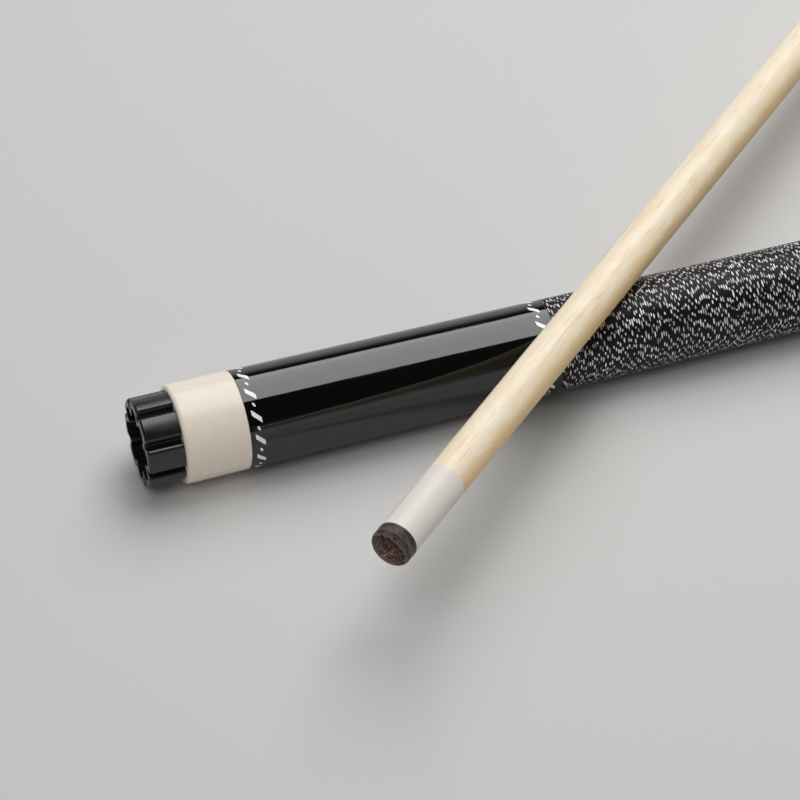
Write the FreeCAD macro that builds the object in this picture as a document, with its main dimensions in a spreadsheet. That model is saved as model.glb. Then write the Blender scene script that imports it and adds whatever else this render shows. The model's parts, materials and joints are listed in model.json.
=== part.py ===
import FreeCAD, Part
import math
import os

import Sketcher

# Two-piece pool cue, taken apart: the butt lies on the floor along +X, and the shaft
# lies across it with its joint end on the floor. Millimetres, +Z up, and the origin is
# on the floor at the middle of the whole model's box.
#
# Both halves are turned pieces on one axis each. A butt piece is drawn with x counted
# from the back face of the butt cap, and a shaft piece with x counted from the crown of
# the tip. Each half then gets one placement.

SIZES = {
    # butt: outside
    "butt_length": 737.0,
    "butt_dia": 31.75,
    "joint_dia": 21.6,
    "cap_length": 20.8,
    "cap_rear_round": 1.3,
    "cap_front_round": 0.4,
    "ring_width": 6.8,
    "sleeve_length": 89.5,
    "wrap_length": 318.6,
    "wrap_thickness": 0.6,
    "collar_length": 25.0,
    "collar_chamfer": 0.4,
    # butt: what holds it together
    "glue_line": 0.05,
    "cap_tenon_dia": 20.0,
    "cap_shoulder": 9.0,
    "handle_tenon_dia": 18.0,
    "handle_tenon_length": 30.0,
    "forearm_tenon_dia": 16.0,
    "forearm_tenon_length": 18.0,
    "tenon_end_gap": 0.5,
    "weight_dia": 12.7,
    "weight_length": 60.0,
    "weight_start": 22.0,
    "weight_hex": 8.0,
    "weight_hex_depth": 8.0,
    "stud_dia": 9.5,
    "stud_length": 90.0,
    # joint
    "pin_dia": 7.94,
    "pin_root_dia": 9.5,
    "pin_depth": 45.0,
    "pin_reach": 28.0,
    "pin_nose": 1.4,
    # bumper
    "bumper_dia": 28.4,
    "bumper_height": 11.8,
    "bumper_lobes": 8,
    "bumper_turn": 7.5,
    "lobe_round": 1.3,
    "rim_round": 0.8,
    "groove_width": 2.0,
    "groove_depth": 3.0,
    "dish_dia": 18.0,
    "dish_floor_dia": 16.0,
    "dish_depth": 4.0,
    "lobe_pocket_dia": 6.0,
    "lobe_pocket_depth": 3.0,
    "lobe_pocket_circle_dia": 18.4,
    "stem_dia": 16.0,
    "stem_length": 8.0,
    "stem_clearance": 0.05,
    # shaft: outside
    "shaft_length": 737.0,
    "tip_dia": 13.0,
    "tip_height": 5.5,
    "tip_crown": 2.2,
    "tip_edge_round": 1.3,
    "pad_thickness": 0.8,
    "ferrule_length": 28.6,
    "straight_end": 300.0,
    "straight_growth": 0.2,
    "rise_end": 470.0,
    # shaft: what holds it together
    "ferrule_tenon_dia": 8.0,
    "ferrule_cap": 6.0,
    "shaft_tenon_dia": 16.0,
    "insert_dia": 11.0,
    "insert_length": 30.0,
    "insert_bore_dia": 6.6,
    "relief_dia": 7.4,
    "relief_depth": 4.0,
    # how the two halves lie
    "cross_on_butt": 145.6,
    "cross_on_shaft": 142.9,
    "cross_angle": 40.9,
    "rest_gap": 0.15,
}

doc = FreeCAD.newDocument("PoolCue")
sheet = doc.addObject("Spreadsheet::Sheet", "Sizes")
for row, (alias, number) in enumerate(SIZES.items(), start=1):
    sheet.set(f"A{row}", alias)
    sheet.set(f"B{row}", str(number))
    sheet.setAlias(f"B{row}", alias)
doc.recompute()


def value(expression):
    """The number that an expression on the sheet's cells gives."""
    return float(sheet.evalExpression(expression))


def cell(name):
    """The number in one cell, for what is worked out in code."""
    return value(f"Sizes.{name}")


# Stations along the butt, from the back face of the cap.
CAP_FRONT = "Sizes.cap_length"
SLEEVE_BACK = f"({CAP_FRONT} + Sizes.ring_width)"
SLEEVE_FRONT = f"({SLEEVE_BACK} + Sizes.sleeve_length)"
WRAP_BACK = f"({SLEEVE_FRONT} + Sizes.ring_width)"
WRAP_FRONT = f"({WRAP_BACK} + Sizes.wrap_length)"
FOREARM_BACK = f"({WRAP_FRONT} + Sizes.ring_width)"
COLLAR_BACK = "(Sizes.butt_length - Sizes.collar_length)"
FOREARM_FRONT = f"({COLLAR_BACK} - Sizes.ring_width)"
BUTT_FRONT = "Sizes.butt_length"

# Stations along the shaft, from the crown of the tip.
PAD_FRONT = "Sizes.tip_height"
FERRULE_FRONT = f"({PAD_FRONT} + Sizes.pad_thickness)"
WOOD_FRONT = f"({FERRULE_FRONT} + Sizes.ferrule_length)"
SHAFT_END = "Sizes.shaft_length"
SHAFT_COLLAR = f"({SHAFT_END} - Sizes.collar_length)"
WOOD_BACK = f"({SHAFT_COLLAR} - Sizes.ring_width)"


def butt_skin(station):
    """Radius of the butt's one straight taper at a station."""
    fall = f"(Sizes.butt_dia - Sizes.joint_dia) * ({station}) / Sizes.butt_length"
    return f"((Sizes.butt_dia - {fall}) / 2)"


# The shaft is almost straight behind the ferrule, then rises through one long arc into
# a straight taper that reaches the joint's diameter at its end.
TIP_RADIUS = "(Sizes.tip_dia / 2)"
STRAIGHT_RADIUS = "((Sizes.tip_dia + Sizes.straight_growth) / 2)"
STRAIGHT_SLOPE = f"(Sizes.straight_growth / 2 / (Sizes.straight_end - {WOOD_FRONT}))"
RISE = "(Sizes.rise_end - Sizes.straight_end)"
REST = f"({SHAFT_END} - Sizes.rise_end)"
END_SLOPE = (
    f"((Sizes.joint_dia / 2 - {STRAIGHT_RADIUS} - {STRAIGHT_SLOPE} * {RISE} / 2)"
    f" / ({REST} + {RISE} / 2))"
)


def shaft_skin(station):
    """Radius of the shaft's rear taper at a station behind the arc."""
    return f"(Sizes.joint_dia / 2 - {END_SLOPE} * ({SHAFT_END} - ({station})))"


def plane(body, role):
    """One of a body's own origin planes or axes, by its role."""
    for feature in body.Origin.OriginFeatures:
        if feature.Role == role:
            return feature
    raise ValueError(f"{body.Label}: no {role}")


def new_body(name):
    body = doc.addObject("PartDesign::Body", name)
    body.Label = name
    return body


def new_sketch(body, name, role):
    sketch = body.newObject("Sketcher::SketchObject", name)
    sketch.AttachmentSupport = [(plane(body, role), "")]
    sketch.MapMode = "FlatFace"
    return sketch


def bind(sketch, constraint, expression):
    """Add a dimension and tie it to the sheet."""
    index = sketch.addConstraint(constraint)
    sketch.setExpression(f"Constraints[{index}]", expression)


def pin_corner(sketch, edge, station, radius):
    """Place the start of an edge at a station and a radius."""
    bind(sketch, Sketcher.Constraint("DistanceX", -1, 1, edge, 1, value(station)), station)
    bind(sketch, Sketcher.Constraint("DistanceY", -1, 1, edge, 1, value(radius)), radius)


def close_loop(sketch, count, smooth=()):
    """Join each edge's end to the next edge's start, tangent where it is smooth."""
    for edge in range(count):
        following = (edge + 1) % count
        meeting = "Tangent" if edge in smooth else "Coincident"
        sketch.addConstraint(Sketcher.Constraint(meeting, edge, 2, following, 1))


def revolve(body, sketch):
    turn = body.newObject("PartDesign::Revolution", f"{body.Name}_turn")
    turn.Profile = sketch
    turn.ReferenceAxis = (sketch, ["H_Axis"])
    turn.Angle = 360.0
    sketch.Visibility = False
    return turn


def turned(name, outline):
    """A piece turned on the lathe: a closed outline of (station, radius) corners."""
    body = new_body(name)
    sketch = new_sketch(body, f"{name}_outline", "XZ_Plane")
    corners = [FreeCAD.Vector(value(s), value(r), 0) for s, r in outline]
    for index, corner in enumerate(corners):
        following = corners[(index + 1) % len(corners)]
        sketch.addGeometry(Part.LineSegment(corner, following), False)
    close_loop(sketch, len(corners))
    for index, (station, radius) in enumerate(outline):
        pin_corner(sketch, index, station, radius)
    revolve(body, sketch)
    return body


def sleeve(name, back, front, skin, bore):
    """A tapered ring between two stations, bored through."""
    return turned(name, [(back, bore), (front, bore), (front, skin(front)), (back, skin(back))])


def circle_edges(body, spots):
    """Names of the round edges at given (station, radius) spots of the body's tip."""
    wanted = [(value(s), value(r)) for s, r in spots]
    names = []
    for index, edge in enumerate(body.Tip.Shape.Edges, start=1):
        if edge.Degenerated or not isinstance(edge.Curve, Part.Circle):
            continue
        curve = edge.Curve
        for station, radius in wanted:
            if abs(curve.Center.x - station) < 0.01 and abs(curve.Radius - radius) < 0.01:
                names.append(f"Edge{index}")
    if len(names) < len(wanted):
        raise ValueError(f"{body.Label}: an edge to dress is missing")
    return names


def round_edges(body, name, edges, radius):
    """A Fillet on named edges of the body's tip, its radius tied to the sheet."""
    base = body.Tip
    feature = body.newObject("PartDesign::Fillet", name)
    feature.Base = (base, edges)
    feature.setExpression("Radius", radius)
    doc.recompute()
    return feature


def soften(body, spots, expression):
    """Round the circular edges at the given spots."""
    doc.recompute()
    round_edges(body, f"{body.Name}_rounding", circle_edges(body, spots), expression)


def bevel(body, spots, expression):
    """Chamfer the circular edges at the given spots."""
    doc.recompute()
    base = body.Tip
    edges = circle_edges(body, spots)
    feature = body.newObject("PartDesign::Chamfer", f"{body.Name}_bevel_{len(body.Group)}")
    feature.Base = (base, edges)
    feature.setExpression("Size", expression)
    doc.recompute()


def cut(body, sketch, depth, backwards):
    """A Pocket that must take material away."""
    doc.recompute()
    before = body.Tip.Shape.Volume
    pocket = body.newObject("PartDesign::Pocket", f"{sketch.Name}_cut")
    pocket.Profile = sketch
    pocket.Type = 0
    pocket.setExpression("Length", depth)
    pocket.Reversed = backwards
    sketch.Visibility = False
    doc.recompute()
    if pocket.Shape.Volume >= before:
        raise ValueError(f"{pocket.Name} cuts nothing")
    return pocket


def repeat(body, feature, count):
    """Copies of a feature round the body's own X axis."""
    pattern = body.newObject("PartDesign::PolarPattern", f"{feature.Name}_round")
    pattern.Originals = [feature]
    pattern.Axis = (plane(body, "X_Axis"), [""])
    pattern.Angle = 360.0
    pattern.setExpression("Occurrences", count)
    body.Tip = pattern
    doc.recompute()
    return pattern


# ---------------------------------------------------------------- bumper

STEM_RADIUS = "(Sizes.stem_dia / 2 - Sizes.stem_clearance)"
BUMPER_BACK = "(-Sizes.bumper_height)"
BUMPER_RADIUS = "(Sizes.bumper_dia / 2)"
GROOVE_OPEN = f"({BUMPER_RADIUS} + Sizes.groove_width)"
GROOVE_CENTRE = f"({BUMPER_RADIUS} - Sizes.groove_depth + Sizes.groove_width / 2)"


def groove_sketch(body):
    """Section of one lengthwise groove: straight walls and a half-round floor."""
    sketch = new_sketch(body, "groove_section", "YZ_Plane")
    half = cell("groove_width") / 2
    floor = value(GROOVE_CENTRE)
    top = value(GROOVE_OPEN)
    left = FreeCAD.Vector(-half, floor, 0)
    right = FreeCAD.Vector(half, floor, 0)
    top_right = FreeCAD.Vector(half, top, 0)
    top_left = FreeCAD.Vector(-half, top, 0)
    sketch.addGeometry(Part.Arc(left, FreeCAD.Vector(0, floor - half, 0), right), False)
    sketch.addGeometry(Part.LineSegment(right, top_right), False)
    sketch.addGeometry(Part.LineSegment(top_right, top_left), False)
    sketch.addGeometry(Part.LineSegment(top_left, left), False)
    close_loop(sketch, 4)
    sketch.addConstraint(Sketcher.Constraint("Vertical", 1))
    sketch.addConstraint(Sketcher.Constraint("Horizontal", 2))
    sketch.addConstraint(Sketcher.Constraint("Vertical", 3))
    sketch.addConstraint(Sketcher.Constraint("PointOnObject", 0, 3, -2))
    sketch.addConstraint(Sketcher.Constraint("Horizontal", 0, 1, 0, 2))
    sketch.addConstraint(Sketcher.Constraint("Horizontal", 0, 1, 0, 3))
    bind(sketch, Sketcher.Constraint("DistanceY", -1, 1, 0, 3, floor), GROOVE_CENTRE)
    bind(sketch, Sketcher.Constraint("DistanceY", -1, 1, 1, 2, top), GROOVE_OPEN)
    bind(sketch, Sketcher.Constraint("DistanceX", 0, 1, 0, 2, 2 * half), "Sizes.groove_width")
    return sketch


def lobe_pocket_sketch(body):
    """Mouth of the round coring pocket in the end of one lobe."""
    sketch = new_sketch(body, "lobe_pocket_section", "YZ_Plane")
    sketch.setExpression("AttachmentOffset.Base.z", BUMPER_BACK)
    lobe_middle = math.pi / cell("bumper_lobes")
    reach = cell("lobe_pocket_circle_dia") / 2
    across = reach * math.sin(lobe_middle)
    up = reach * math.cos(lobe_middle)
    radius = cell("lobe_pocket_dia") / 2
    circle = Part.Circle(FreeCAD.Vector(across, up, 0), FreeCAD.Vector(0, 0, 1), radius)
    sketch.addGeometry(circle, False)
    half_turn = "180 deg / Sizes.bumper_lobes"
    place = "Sizes.lobe_pocket_circle_dia / 2"
    bind(sketch, Sketcher.Constraint("DistanceX", -1, 1, 0, 3, across), f"{place} * sin({half_turn})")
    bind(sketch, Sketcher.Constraint("DistanceY", -1, 1, 0, 3, up), f"{place} * cos({half_turn})")
    bind(sketch, Sketcher.Constraint("Radius", 0, radius), "Sizes.lobe_pocket_dia / 2")
    return sketch


def lobe_sides(body):
    """The long outer edges of the lobes."""
    outside = value(BUMPER_RADIUS)
    names = []
    for index, edge in enumerate(body.Tip.Shape.Edges, start=1):
        if edge.Degenerated or not isinstance(edge.Curve, Part.Line):
            continue
        middle = edge.CenterOfMass
        if abs(math.hypot(middle.y, middle.z) - outside) < 0.01:
            names.append(f"Edge{index}")
    return names


def lobe_rim(body):
    """The outline of the lobes where it meets the back face."""
    back = value(BUMPER_BACK)
    inside = cell("dish_dia") / 2
    names = []
    for index, edge in enumerate(body.Tip.Shape.Edges, start=1):
        if edge.Degenerated:
            continue
        ends = edge.Vertexes
        on_back = all(abs(end.X - back) < 0.01 for end in ends)
        past_dish = all(math.hypot(end.Y, end.Z) > inside + 0.01 for end in ends)
        if on_back and past_dish:
            names.append(f"Edge{index}")
    return names


def make_bumper():
    """Lobed rubber bumper with a dished back and a push-in stem."""
    body = turned(
        "bumper",
        [
            (f"({BUMPER_BACK} + Sizes.dish_depth)", "0"),
            (f"({BUMPER_BACK} + Sizes.dish_depth)", "Sizes.dish_floor_dia / 2"),
            (BUMPER_BACK, "Sizes.dish_dia / 2"),
            (BUMPER_BACK, BUMPER_RADIUS),
            ("0", BUMPER_RADIUS),
            ("0", STEM_RADIUS),
            ("Sizes.stem_length", STEM_RADIUS),
            ("Sizes.stem_length", "0"),
        ],
    )
    groove = cut(body, groove_sketch(body), "Sizes.bumper_height", False)
    repeat(body, groove, "Sizes.bumper_lobes")
    round_edges(body, "lobe_side_rounding", lobe_sides(body), "Sizes.lobe_round")
    round_edges(body, "lobe_rim_rounding", lobe_rim(body), "Sizes.rim_round")
    pocket = cut(body, lobe_pocket_sketch(body), "Sizes.lobe_pocket_depth", True)
    repeat(body, pocket, "Sizes.bumper_lobes")
    return body


# ---------------------------------------------------------------- butt

# Each socket is a bore, and the tenon in it is smaller by the glue line.
CAP_SOCKET = "(Sizes.cap_tenon_dia / 2)"
CAP_TENON = f"({CAP_SOCKET} - Sizes.glue_line)"
HANDLE_SOCKET = "(Sizes.handle_tenon_dia / 2)"
HANDLE_TENON = f"({HANDLE_SOCKET} - Sizes.glue_line)"
FOREARM_SOCKET = "(Sizes.forearm_tenon_dia / 2)"
FOREARM_TENON = f"({FOREARM_SOCKET} - Sizes.glue_line)"


def make_cap():
    """Butt cap: a short sleeve with a shouldered bore for the stem and the tenon."""
    body = turned(
        "butt_cap",
        [
            ("0", "Sizes.stem_dia / 2"),
            ("Sizes.cap_shoulder", "Sizes.stem_dia / 2"),
            ("Sizes.cap_shoulder", CAP_SOCKET),
            (CAP_FRONT, CAP_SOCKET),
            (CAP_FRONT, butt_skin(CAP_FRONT)),
            ("0", butt_skin("0")),
        ],
    )
    soften(body, [("0", butt_skin("0"))], "Sizes.cap_rear_round")
    soften(body, [(CAP_FRONT, butt_skin(CAP_FRONT))], "Sizes.cap_front_round")
    return body


HANDLE_TENON_BACK = f"({SLEEVE_FRONT} - Sizes.handle_tenon_length)"
WEIGHT_BORE = "(Sizes.weight_dia / 2 + Sizes.glue_line)"


def make_butt_sleeve():
    """Black sleeve: rear tenon through ring and cap, weight bore, handle socket."""
    return turned(
        "butt_sleeve",
        [
            ("Sizes.cap_shoulder", WEIGHT_BORE),
            (HANDLE_TENON_BACK, WEIGHT_BORE),
            (HANDLE_TENON_BACK, HANDLE_SOCKET),
            (SLEEVE_FRONT, HANDLE_SOCKET),
            (SLEEVE_FRONT, butt_skin(SLEEVE_FRONT)),
            (SLEEVE_BACK, butt_skin(SLEEVE_BACK)),
            (SLEEVE_BACK, CAP_TENON),
            ("Sizes.cap_shoulder", CAP_TENON),
        ],
    )


def make_weight_bolt():
    """Balance bolt with a hexagon socket in its back end."""
    end = "(Sizes.weight_start + Sizes.weight_length)"
    body = turned(
        "weight_bolt",
        [
            ("Sizes.weight_start", "0"),
            (end, "0"),
            (end, "Sizes.weight_dia / 2"),
            ("Sizes.weight_start", "Sizes.weight_dia / 2"),
        ],
    )
    sketch = new_sketch(body, "weight_hexagon", "YZ_Plane")
    sketch.setExpression("AttachmentOffset.Base.z", "Sizes.weight_start")
    flat = cell("weight_hex") / 2
    corner = flat / math.cos(math.pi / 6)
    turns = [math.radians(60 * side) for side in range(6)]
    points = [FreeCAD.Vector(corner * math.cos(a), corner * math.sin(a), 0) for a in turns]
    for side in range(6):
        sketch.addGeometry(Part.LineSegment(points[side], points[(side + 1) % 6]), False)
    close_loop(sketch, 6)
    for side, angle in enumerate(turns):
        corner_words = "Sizes.weight_hex / 2 / cos(30 deg)"
        across = f"{corner_words} * cos({60 * side} deg)"
        up = f"{corner_words} * sin({60 * side} deg)"
        pin_corner(sketch, side, across, up)
    cut(body, sketch, "Sizes.weight_hex_depth", True)
    return body


STUD_RADIUS = "(Sizes.stud_dia / 2)"
STUD_BORE = f"({STUD_RADIUS} + Sizes.glue_line)"
FOREARM_TENON_FRONT = f"({FOREARM_BACK} + Sizes.forearm_tenon_length)"
STUD_BACK = f"({FOREARM_TENON_FRONT} - Sizes.stud_length / 2)"
STUD_FRONT = f"({FOREARM_TENON_FRONT} + Sizes.stud_length / 2)"


def wrap_seat(station):
    """Radius of the handle under the wrap."""
    return f"({butt_skin(station)} - Sizes.wrap_thickness)"


def make_handle_core():
    """Handle under the wrap, with a tenon at each end and a bore for the stud."""
    tenon_back = f"({HANDLE_TENON_BACK} + Sizes.tenon_end_gap)"
    tenon_front = f"({FOREARM_TENON_FRONT} - Sizes.tenon_end_gap)"
    bore_floor = f"({STUD_BACK} - Sizes.tenon_end_gap)"
    return turned(
        "handle_core",
        [
            (tenon_back, "0"),
            (bore_floor, "0"),
            (bore_floor, STUD_BORE),
            (tenon_front, STUD_BORE),
            (tenon_front, FOREARM_TENON),
            (WRAP_FRONT, FOREARM_TENON),
            (WRAP_FRONT, wrap_seat(WRAP_FRONT)),
            (WRAP_BACK, wrap_seat(WRAP_BACK)),
            (WRAP_BACK, HANDLE_TENON),
            (tenon_back, HANDLE_TENON),
        ],
    )


def make_wrap():
    """The wound cord as one thin sleeve, flush with the rings at both ends."""
    return turned(
        "wrap",
        [
            (WRAP_BACK, wrap_seat(WRAP_BACK)),
            (WRAP_FRONT, wrap_seat(WRAP_FRONT)),
            (WRAP_FRONT, butt_skin(WRAP_FRONT)),
            (WRAP_BACK, butt_skin(WRAP_BACK)),
        ],
    )


def make_a_joint_screw():
    """Stud that draws the handle and the forearm together."""
    return turned(
        "a_joint_screw",
        [
            (STUD_BACK, "0"),
            (STUD_FRONT, "0"),
            (STUD_FRONT, STUD_RADIUS),
            (STUD_BACK, STUD_RADIUS),
        ],
    )


PIN_RADIUS = "(Sizes.pin_dia / 2)"
PIN_ROOT = "(Sizes.pin_root_dia / 2)"
PIN_BORE = f"({PIN_ROOT} + Sizes.glue_line)"
PIN_BACK = f"({BUTT_FRONT} - Sizes.pin_depth)"
PIN_FRONT = f"({BUTT_FRONT} + Sizes.pin_reach)"


def make_forearm():
    """Black forearm: rear socket and stud bore, front tenon with the pin's bore."""
    stud_floor = f"({STUD_FRONT} + Sizes.tenon_end_gap)"
    pin_floor = f"({PIN_BACK} - Sizes.tenon_end_gap)"
    return turned(
        "forearm",
        [
            (stud_floor, "0"),
            (pin_floor, "0"),
            (pin_floor, PIN_BORE),
            (BUTT_FRONT, PIN_BORE),
            (BUTT_FRONT, FOREARM_TENON),
            (FOREARM_FRONT, FOREARM_TENON),
            (FOREARM_FRONT, butt_skin(FOREARM_FRONT)),
            (FOREARM_BACK, butt_skin(FOREARM_BACK)),
            (FOREARM_BACK, FOREARM_SOCKET),
            (FOREARM_TENON_FRONT, FOREARM_SOCKET),
            (FOREARM_TENON_FRONT, STUD_BORE),
            (stud_floor, STUD_BORE),
        ],
    )


def make_joint_collar():
    """Collar at the butt's joint face."""
    body = sleeve("joint_collar", COLLAR_BACK, BUTT_FRONT, butt_skin, FOREARM_SOCKET)
    bevel(body, [(BUTT_FRONT, butt_skin(BUTT_FRONT))], "Sizes.collar_chamfer")
    return body


def make_joint_pin():
    """Joint pin: a thick glued root, then the thread's outer diameter to a bevelled nose."""
    nose = f"({PIN_FRONT} - Sizes.pin_nose)"
    return turned(
        "joint_pin",
        [
            (PIN_BACK, "0"),
            (PIN_FRONT, "0"),
            (PIN_FRONT, f"({PIN_RADIUS} - Sizes.pin_nose)"),
            (nose, PIN_RADIUS),
            (BUTT_FRONT, PIN_RADIUS),
            (BUTT_FRONT, PIN_ROOT),
            (PIN_BACK, PIN_ROOT),
        ],
    )


def make_butt():
    """All the pieces of the butt but the bumper, back to front."""
    return [
        make_cap(),
        sleeve("rear_ring", CAP_FRONT, SLEEVE_BACK, butt_skin, CAP_SOCKET),
        make_weight_bolt(),
        make_butt_sleeve(),
        sleeve("front_ring", SLEEVE_FRONT, WRAP_BACK, butt_skin, HANDLE_SOCKET),
        make_handle_core(),
        make_wrap(),
        sleeve("wrap_ring", WRAP_FRONT, FOREARM_BACK, butt_skin, FOREARM_SOCKET),
        make_a_joint_screw(),
        make_forearm(),
        sleeve("joint_ring", FOREARM_FRONT, COLLAR_BACK, butt_skin, FOREARM_SOCKET),
        make_joint_collar(),
        make_joint_pin(),
    ]


# ---------------------------------------------------------------- shaft


def make_tip():
    """Leather tip: straight side, softened edge and a domed crown."""
    body = new_body("tip")
    sketch = new_sketch(body, "tip_outline", "XZ_Plane")
    outline = [
        ("0", "0"),
        ("Sizes.tip_height", "0"),
        ("Sizes.tip_height", TIP_RADIUS),
        ("Sizes.tip_crown", TIP_RADIUS),
    ]
    corners = [FreeCAD.Vector(value(s), value(r), 0) for s, r in outline]
    crown = cell("tip_crown")
    radius = cell("tip_dia") / 2
    ball = (radius**2 + crown**2) / (2 * crown)
    half_up = radius / 2
    on_crown = FreeCAD.Vector(ball - math.sqrt(ball**2 - half_up**2), half_up, 0)
    for start, end in zip(corners, corners[1:]):
        sketch.addGeometry(Part.LineSegment(start, end), False)
    dome = sketch.addGeometry(Part.Arc(corners[-1], on_crown, corners[0]), False)
    close_loop(sketch, len(corners))
    sketch.addConstraint(Sketcher.Constraint("PointOnObject", dome, 3, -1))
    for index, (station, up) in enumerate(outline):
        pin_corner(sketch, index, station, up)
    revolve(body, sketch)
    soften(body, [("Sizes.tip_crown", TIP_RADIUS)], "Sizes.tip_edge_round")
    return body


def make_tip_pad():
    """Fibre pad between the tip and the ferrule."""
    return turned(
        "tip_pad",
        [
            (PAD_FRONT, "0"),
            (FERRULE_FRONT, "0"),
            (FERRULE_FRONT, TIP_RADIUS),
            (PAD_FRONT, TIP_RADIUS),
        ],
    )


FERRULE_SOCKET_FRONT = f"({FERRULE_FRONT} + Sizes.ferrule_cap)"


def make_ferrule():
    """Capped ferrule, bored from behind for the shaft's tenon."""
    return turned(
        "ferrule",
        [
            (FERRULE_FRONT, "0"),
            (FERRULE_SOCKET_FRONT, "0"),
            (FERRULE_SOCKET_FRONT, "Sizes.ferrule_tenon_dia / 2"),
            (WOOD_FRONT, "Sizes.ferrule_tenon_dia / 2"),
            (WOOD_FRONT, TIP_RADIUS),
            (FERRULE_FRONT, TIP_RADIUS),
        ],
    )


SHAFT_TENON = "(Sizes.shaft_tenon_dia / 2 - Sizes.glue_line)"
SHAFT_SOCKET = "(Sizes.shaft_tenon_dia / 2)"
INSERT_RADIUS = "(Sizes.insert_dia / 2)"
INSERT_BORE = "(Sizes.insert_bore_dia / 2)"
INSERT_FRONT = f"({SHAFT_END} - Sizes.insert_length)"


def make_shaft_wood():
    """Maple shaft: straight, then one long arc into the rear taper."""
    body = new_body("shaft_wood")
    sketch = new_sketch(body, "shaft_wood_outline", "XZ_Plane")
    ferrule_tenon = "(Sizes.ferrule_tenon_dia / 2 - Sizes.glue_line)"
    tenon_front = f"({FERRULE_SOCKET_FRONT} + Sizes.tenon_end_gap)"
    relief_floor = f"({INSERT_FRONT} - Sizes.relief_depth)"
    relief = "(Sizes.relief_dia / 2)"
    insert_seat = f"({INSERT_RADIUS} + Sizes.glue_line)"
    corners = [
        (tenon_front, "0"),
        (tenon_front, ferrule_tenon),
        (WOOD_FRONT, ferrule_tenon),
        (WOOD_FRONT, TIP_RADIUS),
        ("Sizes.straight_end", STRAIGHT_RADIUS),
        ("Sizes.rise_end", shaft_skin("Sizes.rise_end")),
        (WOOD_BACK, shaft_skin(WOOD_BACK)),
        (WOOD_BACK, SHAFT_TENON),
        (SHAFT_END, SHAFT_TENON),
        (SHAFT_END, insert_seat),
        (INSERT_FRONT, insert_seat),
        (INSERT_FRONT, relief),
        (relief_floor, relief),
        (relief_floor, "0"),
    ]
    rise = [station for station, _ in corners].index("Sizes.straight_end")
    points = [FreeCAD.Vector(value(s), value(r), 0) for s, r in corners]
    start, end = points[rise], points[rise + 1]
    sag = (value(END_SLOPE) - value(STRAIGHT_SLOPE)) * value(RISE) / 8
    middle = (start + end) * 0.5 - FreeCAD.Vector(0, sag, 0)
    for index, point in enumerate(points):
        following = points[(index + 1) % len(points)]
        if index == rise:
            sketch.addGeometry(Part.Arc(point, middle, following), False)
        else:
            sketch.addGeometry(Part.LineSegment(point, following), False)
    close_loop(sketch, len(points), smooth=(rise - 1,))
    for index, (station, radius) in enumerate(corners):
        pin_corner(sketch, index, station, radius)
    revolve(body, sketch)
    return body


def make_shaft_collar():
    """Collar at the shaft's joint face."""
    body = sleeve("shaft_collar", SHAFT_COLLAR, SHAFT_END, shaft_skin, SHAFT_SOCKET)
    bevel(body, [(SHAFT_END, shaft_skin(SHAFT_END))], "Sizes.collar_chamfer")
    return body


def make_shaft():
    """All the pieces of the shaft, from the tip to the joint."""
    return [
        make_tip(),
        make_tip_pad(),
        make_ferrule(),
        make_shaft_wood(),
        sleeve("shaft_ring", WOOD_BACK, SHAFT_COLLAR, shaft_skin, SHAFT_SOCKET),
        make_shaft_collar(),
        sleeve("shaft_insert", INSERT_FRONT, SHAFT_END, lambda station: INSERT_RADIUS, INSERT_BORE),
    ]


# ---------------------------------------------------------------- how the halves lie


def butt_placement():
    """The taper's underside lies on the floor, so the axis dips towards the joint."""
    fall = math.atan((cell("butt_dia") - cell("joint_dia")) / 2 / cell("butt_length"))
    height = cell("butt_dia") / 2 * math.cos(fall)
    tilt = FreeCAD.Rotation(FreeCAD.Vector(0, 1, 0), math.degrees(fall))
    return FreeCAD.Placement(FreeCAD.Vector(0, 0, height), tilt)


def shaft_radius(station):
    """The shaft's outside radius at a distance from its crown."""
    if station <= value(WOOD_FRONT):
        return value(TIP_RADIUS)
    if station <= cell("straight_end"):
        return value(TIP_RADIUS) + value(STRAIGHT_SLOPE) * (station - value(WOOD_FRONT))
    if station >= cell("rise_end"):
        return value(shaft_skin(str(station)))
    along = station - cell("straight_end")
    bend = (value(END_SLOPE) - value(STRAIGHT_SLOPE)) / value(RISE)
    return value(STRAIGHT_RADIUS) + value(STRAIGHT_SLOPE) * along + bend * along**2 / 2


def shaft_placement(butt):
    """The shaft leans on the butt where they cross, and its joint end is on the floor."""
    turn = math.radians(cell("cross_angle"))
    butt_way = butt.Rotation.multVec(FreeCAD.Vector(1, 0, 0))
    butt_point = butt.multVec(FreeCAD.Vector(cell("cross_on_butt"), 0, 0))
    butt_radius = value(butt_skin("Sizes.cross_on_butt"))
    reach = butt_radius + shaft_radius(cell("cross_on_shaft")) + cell("rest_gap")
    behind = cell("shaft_length") - cell("cross_on_shaft")
    joint_radius = cell("joint_dia") / 2
    slope = 0.0
    for _ in range(20):
        flat = math.cos(slope)
        way = FreeCAD.Vector(flat * math.cos(turn), flat * math.sin(turn), -math.sin(slope))
        across = butt_way.cross(way).normalize()
        crossing = butt_point + across * reach
        slope = math.asin((crossing.z - joint_radius * math.cos(slope)) / behind)
    start = crossing - way * cell("cross_on_shaft")
    side = FreeCAD.Vector(0, 0, 1).cross(way).normalize()
    rotation = FreeCAD.Rotation(way, side, way.cross(side), "XYZ")
    return FreeCAD.Placement(start, rotation)


def check_all(pieces):
    """Stop if any feature failed or any piece has no sound solid."""
    for thing in doc.Objects:
        if "Invalid" in thing.State or "Error" in thing.State:
            raise RuntimeError(f"{thing.Name} failed: {thing.State}")
    for body in pieces:
        if body.Shape.isNull() or not body.Shape.isValid() or body.Shape.Volume <= 0:
            raise RuntimeError(f"{body.Label} has no valid shape")


bumper = make_bumper()
butt = make_butt()
shaft = make_shaft()
doc.recompute()

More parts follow.
